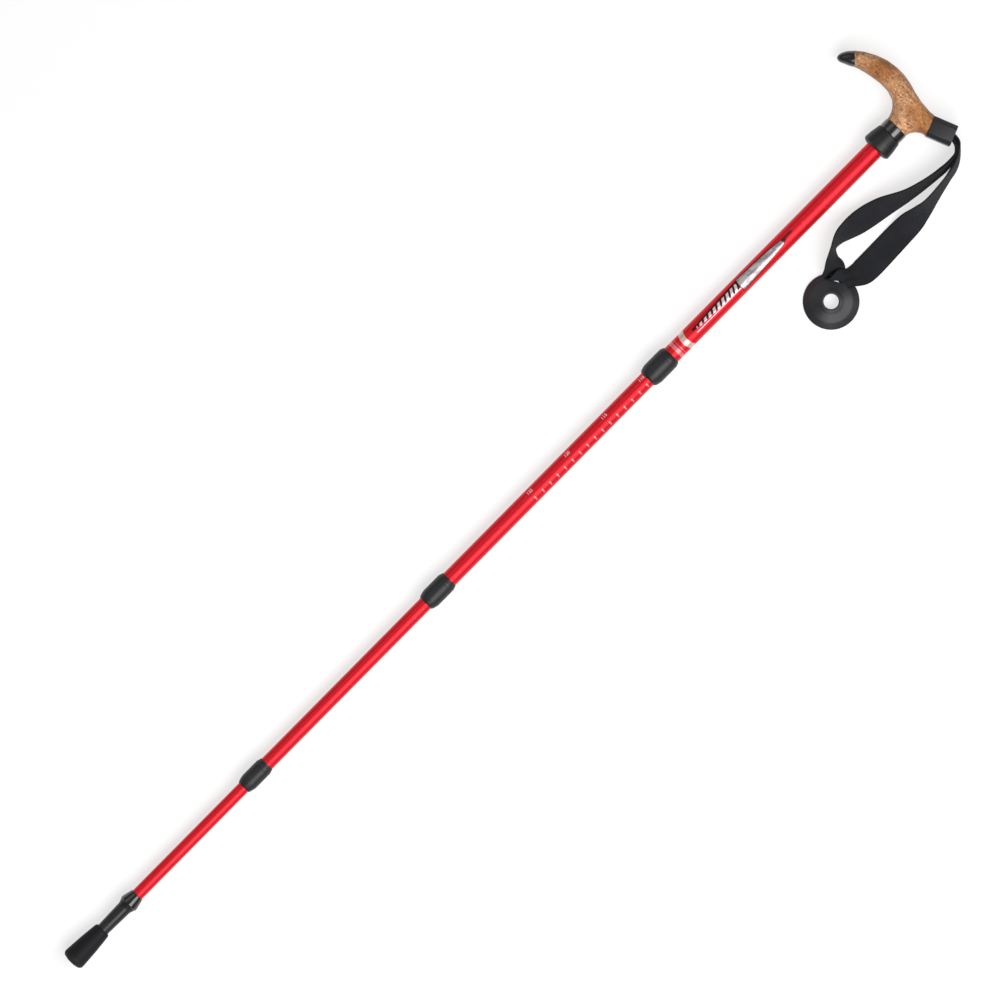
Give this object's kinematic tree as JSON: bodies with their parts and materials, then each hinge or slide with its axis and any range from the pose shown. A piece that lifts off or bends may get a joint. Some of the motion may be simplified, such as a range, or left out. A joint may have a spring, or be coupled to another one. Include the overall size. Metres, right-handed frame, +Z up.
{
  "type": "trekking pole",
  "caption": "Telescoping trekking pole with a cork T-handle, twist-lock tubes, webbing wrist strap, mud basket and pull-off rubber foot.",
  "frame": {"origin": "centre of the rubber foot's ground face, on the pole's axis", "axes": "+X along the pole from the foot to the handle, +Y the side of the handle's long horn, +Z up as the pole lies on its side"},
  "size_m": [1.1523, 0.1858, 0.03],
  "materials": {
    "red_anodised": "satin anodised",
    "cork": "sealed granulated cork",
    "black_gloss": "gloss",
    "black_plastic": "fine satin texture",
    "grey_nylon": "moulded nylon",
    "white_nylon": "moulded nylon",
    "brass": "turned",
    "steel": "zinc plated",
    "carbide": "sintered carbide",
    "rubber": "moulded rubber",
    "webbing": "woven webbing"
  },
  "bodies": {
    "handle": {"grip_core": "grey_nylon", "cork_grip": "cork", "nose_cap": "black_plastic", "strap_block": "black_plastic", "strap_pin": "steel", "neck_ring": "black_gloss", "handle_collar": "black_plastic", "grip_pin": "steel", "upper_tube": "red_anodised", "collar_1": "black_plastic", "wrist_strap": "webbing", "mud_basket": "black_plastic"},
    "expander_2": {"expander_sleeve_2": "white_nylon"},
    "wedge_2": {"cone_nut_2": "brass"},
    "section_2": {"second_tube": "red_anodised", "collar_2": "black_plastic", "lock_plug_2": "grey_nylon", "lock_stud_2": "steel"},
    "expander_3": {"expander_sleeve_3": "white_nylon"},
    "wedge_3": {"cone_nut_3": "brass"},
    "section_3": {"third_tube": "red_anodised", "collar_3": "black_plastic", "lock_plug_3": "grey_nylon", "lock_stud_3": "steel"},
    "expander_4": {"expander_sleeve_4": "white_nylon"},
    "wedge_4": {"cone_nut_4": "brass"},
    "section_4": {"fourth_tube": "red_anodised", "lock_plug_4": "grey_nylon", "lock_stud_4": "steel", "tip_holder": "black_gloss", "carbide_tip": "carbide"},
    "foot": {"rubber_foot": "rubber", "foot_washer": "steel"}
  },
  "joints": [
    {"name": "extend_2", "type": "slide", "parent": "handle", "child": "expander_2", "axis": [1, 0, 0], "range_m": [0, 0.263]},
    {"name": "twist_2", "type": "hinge", "parent": "expander_2", "child": "section_2", "pos_m": [0.8176, 0, 0], "axis": [-1, 0, 0], "range_deg": [0, 540]},
    {"name": "wedge_travel_2", "type": "slide", "parent": "expander_2", "child": "wedge_2", "axis": [1, 0, 0], "range_m": [0, 0.00151]},
    {"name": "extend_3", "type": "slide", "parent": "section_2", "child": "expander_3", "axis": [1, 0, 0], "range_m": [0, 0.21]},
    {"name": "twist_3", "type": "hinge", "parent": "expander_3", "child": "section_3", "pos_m": [0.5268, 0, 0], "axis": [-1, 0, 0], "range_deg": [0, 540]},
    {"name": "wedge_travel_3", "type": "slide", "parent": "expander_3", "child": "wedge_3", "axis": [1, 0, 0], "range_m": [0, 0.00151]},
    {"name": "extend_4", "type": "slide", "parent": "section_3", "child": "expander_4", "axis": [1, 0, 0], "range_m": [0, 0.139]},
    {"name": "twist_4", "type": "hinge", "parent": "expander_4", "child": "section_4", "pos_m": [0.2918, 0, 0], "axis": [-1, 0, 0], "range_deg": [0, 540]},
    {"name": "wedge_travel_4", "type": "slide", "parent": "expander_4", "child": "wedge_4", "axis": [1, 0, 0], "range_m": [0, 0.00151]},
    {"name": "foot_pull", "type": "slide", "parent": "section_4", "child": "foot", "axis": [-1, 0, 0], "range_m": [0, 0.045]}
  ],
  "couplings": [
    {"joint": "wedge_travel_2", "follows": "twist_2", "m_per_rad": 0.00015915},
    {"joint": "wedge_travel_3", "follows": "twist_3", "m_per_rad": 0.00015915},
    {"joint": "wedge_travel_4", "follows": "twist_4", "m_per_rad": 0.00015915}
  ]
}
